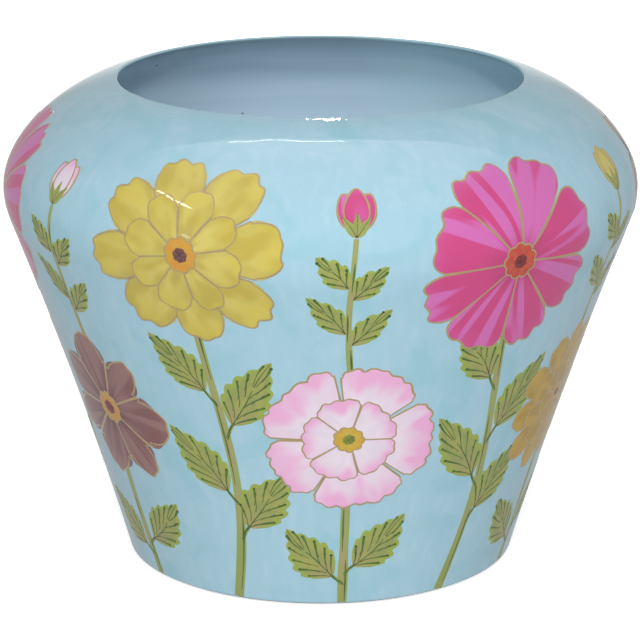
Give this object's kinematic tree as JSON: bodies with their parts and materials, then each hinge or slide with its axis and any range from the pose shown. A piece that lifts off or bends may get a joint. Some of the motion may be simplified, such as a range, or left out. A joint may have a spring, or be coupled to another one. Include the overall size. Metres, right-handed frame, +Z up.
{
  "type": "enamel vase",
  "caption": "Squat enamelled steel flower vase: an inverted cone with a small heel, a rounded girth near the top and a shoulder turned in to a wide plain mouth.",
  "frame": {"origin": "centre of the foot, on the surface that the vase stands on", "axes": "+Z up along the axis of the vase, which is round, so +X and +Y point anywhere square to it; the pictured side faces -Y"},
  "size_m": [0.2, 0.2, 0.1537],
  "materials": {
    "sheet_steel": "thin mild steel, bare and slightly dull on the foot ring, covered elsewhere",
    "brazing": "smooth brazed fillet, covered by the coat",
    "painted_enamel": "glossy pale blue enamel with faint brush streaks, hand-painted flowers with dark-gold outlines, clear lacquer over all",
    "lining_enamel": "plain grey-blue enamel, a little less glossy"
  },
  "bodies": {
    "root": {"lower_body": "sheet_steel", "base_disc": "sheet_steel", "shoulder": "sheet_steel", "base_braze": "brazing", "girth_braze": "brazing", "outside_enamel": "painted_enamel", "inside_enamel": "lining_enamel", "underside_enamel": "lining_enamel"}
  },
  "joints": []
}
